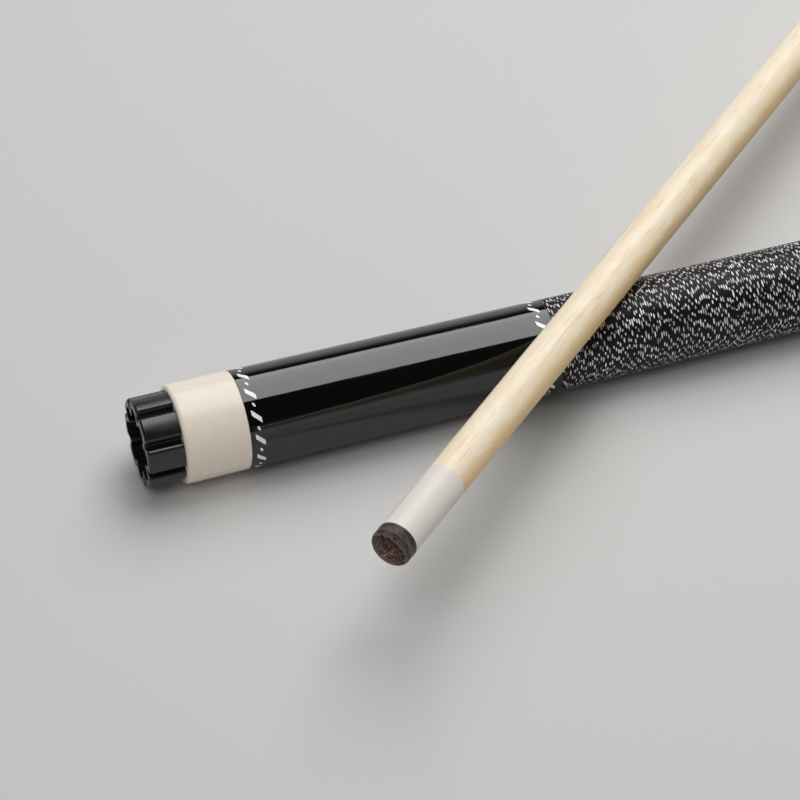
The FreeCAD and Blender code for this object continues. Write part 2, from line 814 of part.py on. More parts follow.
butt_at = butt_placement()
shaft_at = shaft_placement(butt_at)
bumper_turn = FreeCAD.Rotation(FreeCAD.Vector(1, 0, 0), cell("bumper_turn"))
bumper.Placement = butt_at * FreeCAD.Placement(FreeCAD.Vector(), bumper_turn)
for body in butt:
    body.Placement = butt_at
for body in shaft:
    body.Placement = shaft_at
doc.recompute()

pieces = [bumper] + butt + shaft
check_all(pieces)
whole = FreeCAD.BoundBox()
for body in pieces:
    whole.add(body.Shape.optimalBoundingBox(False, False))
to_origin = FreeCAD.Placement(FreeCAD.Vector(-whole.Center.x, -whole.Center.y, 0), FreeCAD.Rotation())
for body in pieces:
    body.Placement = to_origin * body.Placement
doc.recompute()

check_all(pieces)
os.makedirs("parts", exist_ok=True)
for body in pieces:
    body.Shape.exportStep(f"parts/{body.Label}.step")
    print(body.Label, round(body.Shape.Volume, 1), len(body.Shape.Solids))
print("butt at", butt[0].Placement)
print("shaft at", shaft[0].Placement)
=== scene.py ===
"""Looks of the two-piece pool cue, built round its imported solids."""

import json
import math

import bmesh
import bpy
import numpy as np
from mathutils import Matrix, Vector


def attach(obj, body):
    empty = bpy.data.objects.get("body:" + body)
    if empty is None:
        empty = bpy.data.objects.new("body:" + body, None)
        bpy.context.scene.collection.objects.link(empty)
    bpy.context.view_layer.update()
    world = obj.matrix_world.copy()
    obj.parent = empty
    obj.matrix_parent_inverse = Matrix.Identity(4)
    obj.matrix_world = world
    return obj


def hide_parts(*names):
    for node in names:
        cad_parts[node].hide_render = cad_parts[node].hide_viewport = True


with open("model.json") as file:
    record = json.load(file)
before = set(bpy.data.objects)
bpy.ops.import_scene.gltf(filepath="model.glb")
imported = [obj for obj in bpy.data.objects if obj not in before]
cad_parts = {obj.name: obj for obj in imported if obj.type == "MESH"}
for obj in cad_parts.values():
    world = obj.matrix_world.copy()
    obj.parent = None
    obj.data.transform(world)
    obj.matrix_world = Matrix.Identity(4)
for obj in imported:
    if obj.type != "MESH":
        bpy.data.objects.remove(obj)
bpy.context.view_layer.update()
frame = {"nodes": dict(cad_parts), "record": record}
NODES = frame["nodes"]

MM = 0.001
rng = np.random.default_rng(41)

# Stations in millimetres: on the butt from the back face of its cap, and on the shaft
# from the crown of its tip. Both halves end at the joint face.
HALF_LENGTH = 737.0
BUTT_RADII = (15.875, 10.8)
RING_WIDTH = 6.8
REAR_RING = 20.8
FRONT_RING = REAR_RING + RING_WIDTH + 89.5
WRAP_BACK = FRONT_RING + RING_WIDTH
WRAP_FRONT = WRAP_BACK + 318.6
JOINT_RING = HALF_LENGTH - 25.0 - RING_WIDTH
CORD_SEAT = 0.6
GIRTH_STATION = 300.0
TIP_RADIUS = 6.5
TIP_HEIGHT = 5.5
TIP_CROWN = 2.2
TIP_ROUND = 1.3
PIN_FRONT = HALF_LENGTH + 28.0
PIN_NOSE = 1.4
PIN_RADIUS = 3.97
PIN_ROOT = 4.75
INSERT_BACK = HALF_LENGTH - 30.0
INSERT_RADII = (5.5, 3.3)
SHAFT_END_SLOPE = 0.01184
CLEARANCE = 0.02


# ---------------------------------------------------------------- the two halves


class Half:
    """One half of the cue: where its axis starts and its three directions.

    A point is start + along * station + radius * (up * sin(angle) - level * cos(angle)),
    so angle 0 looks to the level side and a quarter turn looks up.
    """

    def __init__(self, mount, station):
        found = next(one for one in frame["record"]["mounts"] if one["name"] == mount)
        self.along = np.array(found["axis"]) / np.linalg.norm(found["axis"])
        self.start = np.array(found["pos_m"]) - self.along * station * MM
        level = np.cross((0.0, 0.0, 1.0), self.along)
        self.level = level / np.linalg.norm(level)
        self.up = np.cross(self.along, self.level)
        yaw = math.atan2(self.along[1], self.along[0])
        self.turn = (0.0, -math.asin(self.along[2]), yaw)

    def points(self, station, angle, radius):
        """The formula above on whole arrays, which may need broadcasting, in metres."""
        station, angle, radius = np.broadcast_arrays(station, angle, radius)
        way = np.sin(angle)[..., None] * self.up - np.cos(angle)[..., None] * self.level
        return self.start + (self.along * station[..., None] + way * radius[..., None]) * MM


# The mounts are the middle of the pin's straight part and the middle of the insert's bore.
BUTT = Half("joint_pin", (HALF_LENGTH + PIN_FRONT - PIN_NOSE) / 2)
SHAFT = Half("insert_thread", (INSERT_BACK + HALF_LENGTH) / 2)


def butt_skin(station):
    """Radius of the butt's straight taper, in millimetres."""
    share = np.asarray(station, float) / HALF_LENGTH
    return BUTT_RADII[0] + (BUTT_RADII[1] - BUTT_RADII[0]) * share


def shaft_end_skin(station):
    """Radius of the shaft's straight rear taper, in millimetres."""
    return BUTT_RADII[1] - SHAFT_END_SLOPE * (HALF_LENGTH - np.asarray(station, float))


# ---------------------------------------------------------------- surfaces


def grid_faces(rows, columns, closed):
    """Corners of the quads between neighbouring rows and columns, facing outwards."""
    row = np.arange(rows - 1)[:, None]
    column = np.arange(columns if closed else columns - 1)[None, :]
    beside = (column + 1) % columns
    corners = [row * columns + column, (row + 1) * columns + column]
    corners += [(row + 1) * columns + beside, row * columns + beside]
    return np.stack(np.broadcast_arrays(*corners), axis=-1).reshape(-1, 4)


def new_piece(name, points, faces, body, finish, crease=40.0, uv=None, welded=1e-7):
    """A piece from points and quads, with doubled points joined and edges past a crease sharp."""
    mesh = bpy.data.meshes.new(name)
    mesh.vertices.add(len(points))
    mesh.vertices.foreach_set("co", np.asarray(points, np.float32).ravel())
    mesh.loops.add(faces.size)
    mesh.loops.foreach_set("vertex_index", faces.astype(np.int32).ravel())
    mesh.polygons.add(len(faces))
    mesh.polygons.foreach_set("loop_start", np.arange(0, faces.size, 4, dtype=np.int32))
    mesh.update(calc_edges=True)
    if uv is not None:
        layer = mesh.uv_layers.new(name="winding")
        layer.data.foreach_set("uv", np.asarray(uv, np.float32).ravel())
    made = bmesh.new()
    made.from_mesh(mesh)
    bmesh.ops.remove_doubles(made, verts=made.verts, dist=welded)
    bmesh.ops.dissolve_degenerate(made, edges=made.edges, dist=welded)
    loose = [edge for edge in made.edges if edge.is_wire]
    bmesh.ops.delete(made, geom=loose, context="EDGES")
    made.to_mesh(mesh)
    made.free()
    mesh.validate()
    mesh.shade_smooth()
    mesh.set_sharp_from_angle(angle=math.radians(crease))
    piece = bpy.data.objects.new(name, mesh)
    bpy.context.scene.collection.objects.link(piece)
    mesh.materials.append(finish)
    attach(piece, body)
    return piece


def lathe(name, half, stations, radii, columns, body, finish, crease=40.0):
    """A profile of stations and radii carried once round the half's axis."""
    angle = np.linspace(0, 2 * np.pi, columns, endpoint=False)
    points = half.points(np.asarray(stations)[:, None], angle[None, :], np.asarray(radii)[:, None])
    faces = grid_faces(len(stations), columns, True)
    return new_piece(name, points.reshape(-1, 3), faces, body, finish, crease)


def wound(name, half, ends, pitch, across, columns, outline, core, body, finish, crease=60.0):
    """A thread wound round the half between two stations, closed by the core's surface.

    Row r and column c lie at angle a = 2 pi c / columns and at the station
    back + pitch * (r / across - 1 + a / 2 pi), held between the ends. The radius is
    outline(station, fraction across the thread), and at a held station it is the core's.
    The winding's map gives the run along the thread in millimetres, as if each turn had
    the girth station's length, and the fraction across it.
    """
    back, front = ends
    turns = int(round((front - back) / pitch)) + 1
    rows = turns * across + 1
    column = np.arange(columns + 1)[None, :]
    row = np.arange(rows)[:, None]
    share = column / columns
    station = back + pitch * (row / across - 1 + share)
    held = (station <= back + 1e-6) | (station >= front - 1e-6)
    station = np.clip(station, back, front)
    radius = outline(station, (row % across) / across)
    radius = np.where(held, core(station), radius)
    angle = np.broadcast_to(2 * np.pi * share, station.shape)
    outer = half.points(station, angle, radius)
    inner_station = np.repeat(np.array([[front], [back]]), columns + 1, axis=1)
    inner = half.points(inner_station, 2 * np.pi * share, core(inner_station))
    points = np.concatenate([outer.reshape(-1, 3), inner.reshape(-1, 3)])
    faces = grid_faces(rows, columns + 1, False)
    closing = grid_faces(2, columns + 1, False) + rows * (columns + 1)
    turn_of = np.arange(rows - 1)[:, None] // across
    low = (np.arange(rows - 1)[:, None] % across) / across
    run = 2 * np.pi * butt_skin(GIRTH_STATION)
    start = (turn_of + share[:, :-1]) * run
    stop = (turn_of + share[:, 1:]) * run
    low = np.broadcast_to(low, start.shape)
    corners = [(start, low), (start, low + 1 / across), (stop, low + 1 / across), (stop, low)]
    uv = np.stack([np.stack(corner, axis=-1) for corner in corners], axis=2).reshape(-1, 2)
    uv = np.concatenate([uv, np.zeros((closing.size, 2))])
    faces = np.concatenate([faces, closing])
    return new_piece(name, points, faces, body, finish, crease, uv, welded=2e-7)


# ---------------------------------------------------------------- finishes


class Finish:
    """A node material: one shader, and short calls that add the nodes feeding it."""

    def __init__(self, name, **sockets):
        self.material = bpy.data.materials.new(name)
        self.material.use_nodes = True
        self.nodes = self.material.node_tree.nodes
        self.links = self.material.node_tree.links
        self.shader = self.nodes["Principled BSDF"]
        for socket, given in sockets.items():
            self.shader.inputs[socket.replace("_", " ")].default_value = given

    def node(self, kind, inputs=(), **settings):
        """A node with settings, its inputs given as (name or place, number or socket)."""
        made = self.nodes.new(kind)
        for key, choice in settings.items():
            setattr(made, key, choice)
        for place, given in inputs:
            if isinstance(given, bpy.types.NodeSocket):
                self.links.new(given, made.inputs[place])
            else:
                made.inputs[place].default_value = given
        return made

    def math(self, operation, *values):
        """The result of a math node."""
        inputs = list(enumerate(values))
        return self.node("ShaderNodeMath", inputs, operation=operation).outputs[0]

    def along(self, half, grain):
        """Coordinates on a half's own axes, in units of the grain's size in millimetres."""
        place = self.node("ShaderNodeTexCoord").outputs["Object"]
        inputs = [
            ("Vector", place),
            ("Location", tuple(half.start)),
            ("Rotation", half.turn),
            ("Scale", tuple(np.array(grain) * MM)),
        ]
        return self.node("ShaderNodeMapping", inputs, vector_type="TEXTURE").outputs[0]

    def millimetres(self, half):
        """Station, level and upright place on a half, as three sockets in millimetres."""
        place = self.along(half, (1.0, 1.0, 1.0))
        return self.node("ShaderNodeSeparateXYZ", [(0, place)]).outputs

    def distance(self, level, upright):
        """Root of the sum of two squares."""
        squares = [self.math("POWER", given, 2.0) for given in (level, upright)]
        return self.math("SQRT", self.math("ADD", *squares))

    def noise(self, vector, detail=3.0, rough=0.5, warp=0.0):
        """Soft noise from 0 to 1, one wave to each unit of the coordinates."""
        inputs = [("Vector", vector), ("Scale", 1.0), ("Detail", detail)]
        inputs += [("Roughness", rough), ("Distortion", warp)]
        return self.node("ShaderNodeTexNoise", inputs).outputs["Fac"]

    def fit(self, source, low, high, to_low=0.0, to_high=1.0):
        """Map a range smoothly to another and hold it there."""
        inputs = [(0, source), (1, low), (2, high), (3, to_low), (4, to_high)]
        made = self.node("ShaderNodeMapRange", inputs, interpolation_type="SMOOTHSTEP")
        return made.outputs[0]

    def blend(self, share, first, second):
        """The first colour, the second, or a mix between them by the share."""
        inputs = [(0, share), (6, colour(first)), (7, colour(second))]
        return self.node("ShaderNodeMix", inputs, data_type="RGBA").outputs[2]

    def feed(self, socket, source):
        """Link a result to one of the shader's sockets."""
        self.links.new(source, self.shader.inputs[socket])

    def relief(self, height, depth):
        """Bump of a given depth in millimetres from a height that runs from 0 to 1."""
        inputs = [("Strength", 1.0), ("Distance", depth * MM), ("Height", height)]
        self.feed("Normal", self.node("ShaderNodeBump", inputs).outputs[0])


def colour(given):
    """A socket as it is, or three numbers with a solid alpha added."""
    return given if isinstance(given, bpy.types.NodeSocket) else (*given, 1.0)


def lacquer_finish():
    """Black gloss lacquer, very slightly uneven, on wood that shows at a bare end."""
    made = Finish("black_lacquer", IOR=1.62)
    cloud = made.noise(made.along(BUTT, (30.0, 3.0, 3.0)), 4.0, 0.6)
    station, level, upright = made.millimetres(BUTT)
    fall = (BUTT_RADII[0] - BUTT_RADII[1]) / HALF_LENGTH
    out = made.math("MULTIPLY_ADD", station, fall, made.distance(level, upright))
    bare = made.fit(out, BUTT_RADII[0] - 0.3, BUTT_RADII[0] - 0.5)
    rings = made.noise(made.along(BUTT, (40.0, 1.2, 1.2)), 4.0)
    black = made.blend(cloud, (0.0012, 0.0011, 0.0012), (0.003, 0.0028, 0.003))
    wood = made.blend(rings, (0.36, 0.23, 0.12), (0.58, 0.41, 0.24))
    made.feed("Base Color", made.blend(bare, black, wood))
    gloss = made.fit(cloud, 0.3, 0.75, 0.04, 0.085)
    made.feed("Roughness", made.math("MULTIPLY_ADD", bare, 0.4, gloss))
    made.relief(made.noise(made.along(BUTT, (12.0, 1.6, 1.6)), 2.0), 0.006)
    return made.material


def ivory_finish(name, half):
    """Ivory-coloured resin with faint clouds along the cue."""
    made = Finish(name, Specular_IOR_Level=0.35)
    cloud = made.noise(made.along(half, (9.0, 5.0, 5.0)), 3.0, 0.5, warp=0.4)
    made.feed("Base Color", made.blend(cloud, (0.84, 0.75, 0.635), (0.86, 0.775, 0.66)))
    made.feed("Roughness", made.fit(cloud, 0.3, 0.7, 0.24, 0.28))
    return made.material


def rubber_finish():
    """Smooth moulded black rubber with a little bloom."""
    made = Finish("bumper_rubber", IOR=1.6)
    place = made.along(BUTT, (6.0, 3.0, 3.0))
    bloom = made.noise(place, 5.0, 0.6)
    made.feed("Base Color", made.blend(bloom, (0.005, 0.005, 0.0055), (0.012, 0.012, 0.013)))
    made.feed("Roughness", made.fit(bloom, 0.3, 0.75, 0.24, 0.36))
    made.relief(made.noise(made.along(BUTT, (0.5, 0.5, 0.5)), 2.0), 0.004)
    return made.material


def inlay_finish():
    """Bright white inlay under clear coat."""
    made = Finish("inlay_white", Roughness=0.1)
    cloud = made.noise(made.along(BUTT, (1.5, 0.8, 0.8)), 3.0)
    made.feed("Base Color", made.blend(cloud, (0.88, 0.89, 0.90), (0.94, 0.95, 0.96)))
    return made.material


def cord_finish():
    """Black cord with short white lens-shaped flecks along it, pressed flat and glazed."""
    made = Finish("wrap_cord", Specular_IOR_Level=0.2)
    winding = made.node("ShaderNodeUVMap", uv_map="winding").outputs[0]
    run, side = made.node("ShaderNodeSeparateXYZ", [(0, winding)]).outputs[:2]
    # Each period of the run holds one fleck, with a place, length and brightness of its
    # own, and the periods themselves drift a little.
    period, wander = 3.56, 14.0
    inputs = [("W", made.math("MULTIPLY", run, 1 / wander)), ("Scale", 1.0), ("Detail", 2.0)]
    slow = made.node("ShaderNodeTexNoise", inputs, noise_dimensions="1D")
    drift = made.math("MULTIPLY", slow.outputs["Fac"], 1.3)
    phase = made.math("ADD", made.math("MULTIPLY", run, 1 / period), drift)
    cell = made.math("FLOOR", phase)
    place = made.math("FRACT", phase)
    dice = made.node("ShaderNodeTexWhiteNoise", [("W", cell)], noise_dimensions="1D")
    throws = made.node("ShaderNodeSeparateColor", [(0, dice.outputs["Color"])])
    shift = made.math("MULTIPLY_ADD", throws.outputs[0], 0.56, 0.22)
    away = made.math("ABSOLUTE", made.math("SUBTRACT", place, shift))
    away = made.math("MULTIPLY", away, period)
    reach = made.math("MULTIPLY_ADD", throws.outputs[1], 0.72, 0.36)
    ends = made.math("POWER", made.math("DIVIDE", away, reach), 1.6)
    edge = made.math("ABSOLUTE", made.math("MULTIPLY_ADD", side, 2.0, -1.0))
    flank = made.math("MULTIPLY", made.math("POWER", edge, 2.0), 2.0)
    fleck = made.fit(made.math("ADD", ends, flank), 1.12, 0.72)
    bright = made.math("MULTIPLY_ADD", throws.outputs[2], 0.75, 0.25)
    fleck = made.math("MULTIPLY", fleck, bright)
    fibre = made.noise(made.along(BUTT, (0.25, 0.9, 0.9)), 2.0)
    black = made.blend(fibre, (0.001, 0.001, 0.0013), (0.010, 0.0088, 0.010))
    made.feed("Base Color", made.blend(fleck, black, (0.95, 0.92, 0.935)))
    made.feed("Roughness", made.fit(fibre, 0.3, 0.7, 0.32, 0.52))
    made.relief(fibre, 0.05)
    return made.material


def maple_finish():
    """Pale maple with fine streaks and small dark flecks, and painted shade: a darker gold on its
    lower side.
    """
    made = Finish("maple", Specular_IOR_Level=0.4)
    level, upright = made.millimetres(SHAFT)[1:]
    mottle = made.noise(made.along(SHAFT, (9.0, 3.4, 3.4)), 4.0, 0.6, warp=0.6)
    streak = made.noise(made.along(SHAFT, (17.0, 0.8, 0.8)), 4.0, 0.6, warp=0.3)
    grit = made.noise(made.along(SHAFT, (1.1, 0.4, 0.4)), 2.0)
    pale, honey = (0.90, 0.80, 0.64), (0.885, 0.745, 0.535)
    painted_shade_gold, tan, brown = (0.815, 0.575, 0.28), (0.72, 0.46, 0.20), (0.42, 0.26, 0.12)
    # Painted shade: the lower side, with a wandering edge, turns a darker gold.
    low = made.math("ADD", level, upright)
    low = made.math("ADD", low, made.math("MULTIPLY_ADD", mottle, -4.0, 2.0))
    base = made.blend(made.fit(mottle, 0.38, 0.62), pale, honey)
    base = made.blend(made.fit(low, 2.0, -6.0), base, painted_shade_gold)
    base = made.blend(made.fit(streak, 0.50, 0.76, 0.0, 0.6), base, tan)
    base = made.blend(made.fit(grit, 0.68, 0.80, 0.0, 0.6), base, brown)
    made.feed("Base Color", base)
    made.feed("Roughness", made.fit(streak, 0.35, 0.7, 0.33, 0.39))
    made.relief(streak, 0.01)
    return made.material


def ferrule_finish():
    """Satin white ferrule with faint clouds."""
    made = Finish("ferrule_white", Specular_IOR_Level=0.4)
    cloud = made.noise(made.along(SHAFT, (6.0, 2.0, 2.0)), 4.0)
    made.feed("Base Color", made.blend(cloud, (0.745, 0.69, 0.64), (0.775, 0.72, 0.67)))
    made.feed("Roughness", made.fit(cloud, 0.3, 0.7, 0.38, 0.44))
    return made.material


def fibre_finish():
    """Dark pressed fibre in thin layers."""
    made = Finish("pad_fibre", Roughness=0.5)
    cloud = made.noise(made.along(SHAFT, (0.3, 1.5, 1.5)), 4.0)
    made.feed("Base Color", made.blend(cloud, (0.015, 0.012, 0.012), (0.05, 0.04, 0.038)))
    return made.material


def leather_finish():
    """Pressed leather: a side with burnish in layers, painted shade towards its back and a painted
    highlight on its upper rim, and a brown crown worn low with painted glints.
    """
    made = Finish("tip_leather", Specular_IOR_Level=0.2)
    station, level, upright = made.millimetres(SHAFT)
    out = made.distance(made.math("SUBTRACT", level, 0.6), made.math("ADD", upright, 1.0))
    layers = made.noise(made.along(SHAFT, (0.5, 2.2, 2.2)), 5.0, 0.65)
    blotch = made.noise(made.along(SHAFT, (1.5, 1.5, 1.5)), 5.0, 0.65)
    grit = made.noise(made.along(SHAFT, (0.55, 0.5, 0.5)), 2.0, 0.5)
    ragged = made.math("MULTIPLY_ADD", made.math("SUBTRACT", blotch, 0.5), 3.0, out)
    side = made.math("MAXIMUM", made.fit(ragged, 5.8, 6.2), made.fit(station, 2.4, 3.2))
    burnish_and_painted_light = made.blend(made.fit(layers, 0.35, 0.65), (0.022, 0.016, 0.015), (0.12, 0.094, 0.088))
    # Painted shade: the side darkens towards its back end, by the pad.
    burnish_and_painted_light = made.blend(made.fit(station, 4.3, 5.5, 0.0, 0.7), burnish_and_painted_light, (0.025, 0.02, 0.02))
    # Painted highlight: a lighter band on the rim, at the top of the tip.
    burnish_and_painted_light = made.blend(made.fit(ragged, 7.0, 6.3, 0.0, 0.5), burnish_and_painted_light, (0.24, 0.19, 0.175))
    crown = made.blend(made.fit(blotch, 0.36, 0.66), (0.014, 0.005, 0.0035), (0.14, 0.056, 0.033))
    # Painted glints: light flecks from the grit noise across the crown.
    painted_glints = made.fit(made.math("MULTIPLY_ADD", ragged, -0.02, grit), 0.53, 0.62, 0.0, 0.85)
    crown = made.blend(painted_glints, crown, (0.50, 0.38, 0.34))
    crown = made.blend(made.fit(ragged, 4.9, 5.8, 0.0, 0.7), crown, (0.022, 0.009, 0.006))
    made.feed("Base Color", made.blend(side, crown, burnish_and_painted_light))
    made.feed("Roughness", made.fit(grit, 0.35, 0.65, 0.5, 0.25))
    made.relief(made.math("ADD", blotch, made.math("MULTIPLY", grit, 0.6)), 0.3)
    return made.material


def metal_finish(name, half, dark, light, rough):
    """Turned metal: fine rings round the axis in colour and gloss."""
    made = Finish(name, Metallic=1.0)
    rings = made.noise(made.along(half, (0.12, 8.0, 8.0)), 3.0)
    made.feed("Base Color", made.blend(rings, dark, light))
    made.feed("Roughness", made.fit(rings, 0.3, 0.7, rough * 0.7, rough * 1.3))
    return made.material


def core_wood_finish():
    """Plain brown wood with its grain along the handle."""
    made = Finish("core_wood", Roughness=0.5)
    grain = made.noise(made.along(BUTT, (40.0, 2.0, 2.0)), 4.0)
    made.feed("Base Color", made.blend(grain, (0.50, 0.34, 0.20), (0.66, 0.49, 0.31)))
    return made.material


LACQUER = lacquer_finish()
IVORY_BUTT = ivory_finish("ivory_butt", BUTT)
IVORY_SHAFT = ivory_finish("ivory_shaft", SHAFT)
INLAY = inlay_finish()
CORD = cord_finish()
STEEL = metal_finish("steel", BUTT, (0.50, 0.51, 0.53), (0.70, 0.71, 0.73), 0.22)
BRASS = metal_finish("brass", SHAFT, (0.62, 0.43, 0.17), (0.84, 0.64, 0.30), 0.2)
NODE_FINISHES = {
    "bumper": rubber_finish(),
    "butt_cap": IVORY_BUTT,
    "rear_ring": LACQUER,
    "butt_sleeve": LACQUER,
    "front_ring": LACQUER,
    "wrap_ring": LACQUER,
    "forearm": LACQUER,
    "joint_ring": LACQUER,
    "joint_collar": IVORY_BUTT,
    "handle_core": core_wood_finish(),
    "weight_bolt": STEEL,
    "a_joint_screw": STEEL,
    "tip_pad": fibre_finish(),
    "ferrule": ferrule_finish(),
    "shaft_wood": maple_finish(),
    "shaft_ring": LACQUER,
    "shaft_collar": IVORY_SHAFT,
}
for node, finish in NODE_FINISHES.items():
    mesh = NODES[node].data
    mesh.materials.clear()
    mesh.materials.append(finish)


# ---------------------------------------------------------------- ring inlays

DASH = {"length": 2.9, "span": 6.7, "slant": 10.4, "power": 30.0}
DOT = {"length": 0.9, "span": 4.4, "slant": 2.8, "power": 2.2}
INLAY_COUNT = 13
INLAY_START = 72.3
INLAY_OFFSET = -0.45
INLAY_PROUD = 0.03
INLAY_DEPTH = 0.12
INLAY_POINTS = 16


def inlay_patch(half, skin, station, angle, shape):
    """One inlay: a slanted patch of the ring's own surface with a closed edge.

    Round its outline (x, y) is (cos t, sin t) divided by its own p-norm, so a high power
    gives a four-sided dash and a power of 2 an oval. The station moves with x, and the
    angle with y and with x times the slant.
    """
    t = np.linspace(0, 2 * np.pi, INLAY_POINTS, endpoint=False)
    size = np.abs(np.cos(t)) ** shape["power"] + np.abs(np.sin(t)) ** shape["power"]
    outline = np.stack([np.cos(t), np.sin(t)]) / size ** (1 / shape["power"])
    scale = np.array([0.0, 0.5, 1.0, 1.0, 0.0])[:, None]
    lift = np.repeat([INLAY_PROUD, -INLAY_DEPTH], (3, 2))[:, None]
    x, y = outline[0] * scale, outline[1] * scale
    stations = station + x * shape["length"] / 2
    degrees = angle - x * shape["slant"] / 2 + y * shape["span"] / 2
    return half.points(stations, np.radians(degrees), skin(stations) + lift)


def ring_inlay(name, half, skin, ring_back, body):
    """Slanted dashes round a ring with an oval dot between each two."""
    pitch = 360.0 / INLAY_COUNT
    station = ring_back + RING_WIDTH / 2 + INLAY_OFFSET
    patches = []
    for place in range(INLAY_COUNT):
        angle = INLAY_START + place * pitch
        patches.append(inlay_patch(half, skin, station, angle, DASH))
        patches.append(inlay_patch(half, skin, station, angle + pitch / 2, DOT))
    rows, columns, _ = patches[0].shape
    one = grid_faces(rows, columns, True)[:, ::-1]
    faces = np.concatenate([one + rows * columns * index for index in range(len(patches))])
    points = np.concatenate([patch.reshape(-1, 3) for patch in patches])
    return new_piece(name, points, faces, body, INLAY, welded=1e-6)


ring_inlay("rear_ring_inlay", BUTT, butt_skin, REAR_RING, "butt")
ring_inlay("front_ring_inlay", BUTT, butt_skin, FRONT_RING, "butt")
ring_inlay("wrap_ring_inlay", BUTT, butt_skin, WRAP_FRONT, "butt")
ring_inlay("joint_ring_inlay", BUTT, butt_skin, JOINT_RING, "butt")
ring_inlay("shaft_ring_inlay", SHAFT, shaft_end_skin, JOINT_RING, "shaft")


# ---------------------------------------------------------------- wound cord

CORD_TURNS = 425
CORD_RELIEF = 0.09
CORD_STEPS = 4


def cord_outline(station, share):
    """The butt's taper, less a relief that falls as 1 - sin(pi * share) to each valley."""
    return butt_skin(station) - CORD_RELIEF * (1 - np.sin(np.pi * share))


def cord_core(station):
    """Just outside the seat that the cord is wound on."""
    return butt_skin(station) - CORD_SEAT + CLEARANCE


cord_pitch = (WRAP_FRONT - WRAP_BACK) / CORD_TURNS
cord = wound(
    "wound_cord", BUTT, (WRAP_BACK, WRAP_FRONT), cord_pitch, CORD_STEPS, 48, cord_outline,
    cord_core, "butt", CORD,
)
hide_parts("wrap")


# ---------------------------------------------------------------- joint

PIN_PITCH = 1.411
PIN_THREAD = 0.72
PIN_BACK = HALF_LENGTH - 1.0
PIN_ROOT_BACK = HALF_LENGTH - 6.0
INSERT_THREAD = 0.5
INSERT_BEVEL = 0.9
THREAD_STEPS = 8


def thread_flank(share):
    """Depth of a thread from 1 to 0 and back over one turn, with a flat at both ends."""
    return np.clip(np.abs(2 * share - 1) * 1.3 - 0.15, 0, 1)


def pin_outline(station, share):
    """Full diameter less a V thread, and less the nose's bevel over the last stretch."""
    nose = np.clip(station - (PIN_FRONT - PIN_NOSE), 0, None)
    return PIN_RADIUS - np.maximum(PIN_THREAD * thread_flank(share), nose)


def pin_core(station):
    """The pin is closed at its axis."""
    return np.zeros(np.shape(station))


pin = wound(
    "joint_pin_thread", BUTT, (PIN_BACK, PIN_FRONT), PIN_PITCH, THREAD_STEPS, 64, pin_outline,
    pin_core, "butt", STEEL, 30.0,
)
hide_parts("joint_pin")
lathe(
    "joint_pin_root", BUTT, (PIN_ROOT_BACK, PIN_ROOT_BACK, HALF_LENGTH, HALF_LENGTH),
    (0.0, PIN_ROOT, PIN_ROOT, 0.0), 64, "butt", STEEL,
)


# ---------------------------------------------------------------- tip


def leather_tip():
    """The tip's profile carried round the shaft, with small worn hollows in its crown.

    The crown is a ball of radius (r^2 + c^2) / 2c for the side's radius r and the crown's
    height c, and a round joins it to the side. The side dips in by a few hundredths. The
    hollows are a sum of ten cosine waves across the face, taken off the crown only.
    """
    sphere = (TIP_RADIUS**2 + TIP_CROWN**2) / (2 * TIP_CROWN)
    round_radius = TIP_RADIUS - TIP_ROUND
    start = math.asin(round_radius / (sphere - TIP_ROUND))
    round_station = sphere - (sphere - TIP_ROUND) * math.cos(start)
    crown_radii = np.linspace(0, sphere * math.sin(start), 26)
    crown = sphere - np.sqrt(sphere**2 - crown_radii**2)
    edge = np.linspace(start, np.pi / 2, 10)[1:]
    side = np.linspace(round_station, TIP_HEIGHT, 14)[1:]
    dip = 0.05 * np.sin(np.pi * (side - side[0]) / (side[-1] - side[0]))
    stations = np.concatenate(
        [crown, round_station - TIP_ROUND * np.cos(edge), side, [TIP_HEIGHT]]
    )
    radii = np.concatenate(
        [crown_radii, round_radius + TIP_ROUND * np.sin(edge), TIP_RADIUS - dip, [0.0]]
    )
    columns = 120
    angle = np.linspace(0, 2 * np.pi, columns, endpoint=False)[None, :]
    across, up = radii[:, None] * np.cos(angle), radii[:, None] * np.sin(angle)
    worn = np.zeros(across.shape)
    for _ in range(10):
        way = rng.uniform(0, 2 * np.pi)
        wave = rng.uniform(0.9, 3.6)
        phase = rng.uniform(0, 2 * np.pi)
        worn += np.cos((across * np.cos(way) + up * np.sin(way)) * wave + phase) / wave
    on_crown = np.clip((6.3 - radii) / 1.2, 0, 1)[:, None]
    on_crown[-1] = 0  # the centre of the back
    # The least offset is above nought, so the crown never stands proud of its solid.
    offset = (np.clip(worn, -1.2, 1.2) * 0.04 + 0.05) * on_crown
    points = SHAFT.points(stations[:, None] + offset, angle, radii[:, None] - CLEARANCE)
    points = points.reshape(-1, 3)
    faces = grid_faces(len(stations), columns, True)
    piece = new_piece(
        "leather_tip", points, faces, "shaft", leather_finish(), 50.0, welded=1e-6
    )
    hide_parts("tip")


leather_tip()


# ---------------------------------------------------------------- insert


def threaded_insert():
    """Brass insert: a bevelled mouth, a wall, and a bore with shallow thread grooves."""
    outer, bore = INSERT_RADII
    back, front = INSERT_BACK, HALF_LENGTH
    mouth = front - INSERT_BEVEL
    depth = np.arange(mouth - 0.3, back, -PIN_PITCH / THREAD_STEPS)
    share = np.arange(len(depth)) % THREAD_STEPS / THREAD_STEPS
    threaded = bore + INSERT_THREAD * thread_flank(share)
    stations = np.concatenate([[back, back, front, front, mouth], depth, [back]])
    radii = np.concatenate([[bore, outer, outer, bore + INSERT_BEVEL, bore], threaded, [bore]])
    piece = lathe(
        "threaded_insert", SHAFT, stations, radii, 72, "shaft", BRASS, 30.0
    )
    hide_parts("shaft_insert")


threaded_insert()


# ---------------------------------------------------------------- studio

HORIZON = (0.62, 0.615, 0.605)
ZENITH = (0.03, 0.03, 0.032)


